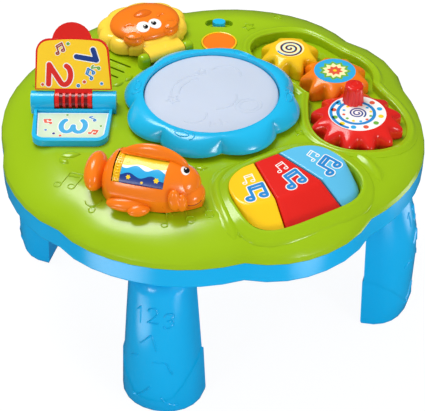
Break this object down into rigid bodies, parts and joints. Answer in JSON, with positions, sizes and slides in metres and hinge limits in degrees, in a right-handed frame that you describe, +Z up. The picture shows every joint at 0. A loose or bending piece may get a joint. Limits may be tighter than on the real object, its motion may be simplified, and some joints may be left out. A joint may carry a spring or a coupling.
{
  "type": "musical activity table",
  "caption": "Low round toddler activity table on four legs, its top carrying a drum pad, piano keys, meshing gears, a flip page, a tilting lion face and a fish with a roller",
  "frame": {"origin": "On the floor, under the centre of the drum, in the middle of the four legs.", "axes": "+Z up; +Y away from the player, toward the lion; +X toward the gears. The keys are on the -Y side."},
  "size_m": [0.392, 0.392, 0.276],
  "materials": {
    "green_shell": "lime green moulded shell, soft sheen",
    "blue_body": "bright blue moulded plastic, soft sheen",
    "sky_blue_trim": "sky blue moulded plastic, soft sheen",
    "pale_skin": "pale milky plastic drum pad",
    "red_parts": "red moulded plastic, soft sheen",
    "orange_parts": "orange moulded plastic, soft sheen",
    "yellow_parts": "warm yellow moulded plastic, soft sheen",
    "blue_key": "light blue moulded plastic key",
    "grey_axles": "grey moulded pins",
    "board_green": "green lacquered board",
    "black_parts": "black plastic and paper cone",
    "clear_lamps": "clear lamp lenses",
    "silicone_domes": "pale silicone rubber",
    "steel": "plated steel",
    "cell_jacket": "dark printed jacket of the cells"
  },
  "bodies": {
    "table": {"badge_plate": "orange_parts", "badge_rim": "yellow_parts", "base_shell": "blue_body", "battery_1": "cell_jacket", "battery_2": "cell_jacket", "battery_3": "cell_jacket", "battery_contacts_left": "steel", "battery_contacts_right": "steel", "battery_door": "blue_body", "battery_door_screw": "steel", "book_hinge_pin": "steel", "book_tray": "sky_blue_trim", "case_screw_1": "steel", "case_screw_2": "steel", "case_screw_3": "steel", "case_screw_4": "steel", "case_screw_5": "steel", "case_screw_6": "steel", "circuit_board": "board_green", "drum_bezel": "sky_blue_trim", "drum_contact_dome": "silicone_domes", "drum_lamp_1": "clear_lamps", "drum_lamp_2": "clear_lamps", "drum_lamp_3": "clear_lamps", "fish_body": "orange_parts", "fish_roller_axle": "steel", "gear_axle_orange": "grey_axles", "gear_axle_red": "grey_axles", "gear_axle_yellow": "grey_axles", "key_hinge_pin": "steel", "key_left_contact_dome": "silicone_domes", "key_middle_contact_dome": "silicone_domes", "key_right_contact_dome": "silicone_domes", "leg_front_left": "blue_body", "leg_front_right": "blue_body", "leg_rear_left": "blue_body", "leg_rear_right": "blue_body", "lion_hinge_pin": "steel", "power_switch_body": "black_parts", "speaker": "black_parts", "top_shell": "green_shell"},
    "book": {"book_page": "red_parts"},
    "lion": {"lion_mane": "yellow_parts", "lion_face": "orange_parts"},
    "drum": {"drum_skin": "pale_skin"},
    "key_left_plate": {"key_left": "yellow_parts"},
    "key_middle_plate": {"key_middle": "red_parts"},
    "key_right_plate": {"key_right": "blue_key"},
    "red_gear": {"gear_red": "red_parts", "gear_knob": "red_parts"},
    "orange_gear": {"gear_orange": "orange_parts"},
    "yellow_gear": {"gear_yellow": "yellow_parts"},
    "roller": {"fish_roller": "yellow_parts"},
    "switch_slider": {"power_switch_knob": "sky_blue_trim"}
  },
  "joints": [
    {"name": "page_flip", "type": "hinge", "parent": "table", "child": "book", "pos_m": [-0.10866, 0.05974, 0.2084], "axis": [0.866, -0.5, 0], "range_deg": [0, 110]},
    {"name": "lion_tilt", "type": "hinge", "parent": "table", "child": "lion", "pos_m": [0, 0.0875, 0.2062], "axis": [1, 0, 0], "range_deg": [0, 70]},
    {"name": "drum_press", "type": "slide", "parent": "table", "child": "drum", "axis": [0, 0, -1], "range_m": [0, 0.0025], "stiffness_N_per_m": 2000},
    {"name": "key_left_press", "type": "hinge", "parent": "table", "child": "key_left_plate", "pos_m": [0.00342, -0.09794, 0.188], "axis": [0.9994, 0.0349, 0], "range_deg": [0, 2.5], "stiffness_Nm_per_rad": 3},
    {"name": "key_middle_press", "type": "hinge", "parent": "table", "child": "key_middle_plate", "pos_m": [0.00342, -0.09794, 0.188], "axis": [0.9994, 0.0349, 0], "range_deg": [0, 2.5], "stiffness_Nm_per_rad": 3},
    {"name": "key_right_press", "type": "hinge", "parent": "table", "child": "key_right_plate", "pos_m": [0.00342, -0.09794, 0.188], "axis": [0.9994, 0.0349, 0], "range_deg": [0, 2.5], "stiffness_Nm_per_rad": 3},
    {"name": "gear_red_spin", "type": "hinge", "parent": "table", "child": "red_gear", "pos_m": [0.1035, -0.0815, 0.198], "axis": [0, 0, 1], "continuous": true},
    {"name": "gear_orange_spin", "type": "hinge", "parent": "table", "child": "orange_gear", "pos_m": [0.12202, -0.0169, 0.198], "axis": [0, 0, 1], "continuous": true},
    {"name": "gear_yellow_spin", "type": "hinge", "parent": "table", "child": "yellow_gear", "pos_m": [0.10521, 0.03483, 0.198], "axis": [0, 0, 1], "continuous": true},
    {"name": "fish_roller_spin", "type": "hinge", "parent": "table", "child": "roller", "pos_m": [-0.09263, -0.09263, 0.2128], "axis": [0.7071, -0.7071, 0], "continuous": true},
    {"name": "switch_slide", "type": "slide", "parent": "table", "child": "switch_slider", "axis": [0.8425, -0.5388, 0], "range_m": [-0.006, 0.006]}
  ],
  "couplings": [
    {"joint": "gear_orange_spin", "follows": "gear_red_spin", "ratio": -1.3333},
    {"joint": "gear_yellow_spin", "follows": "gear_red_spin", "ratio": 1.5}
  ]
}
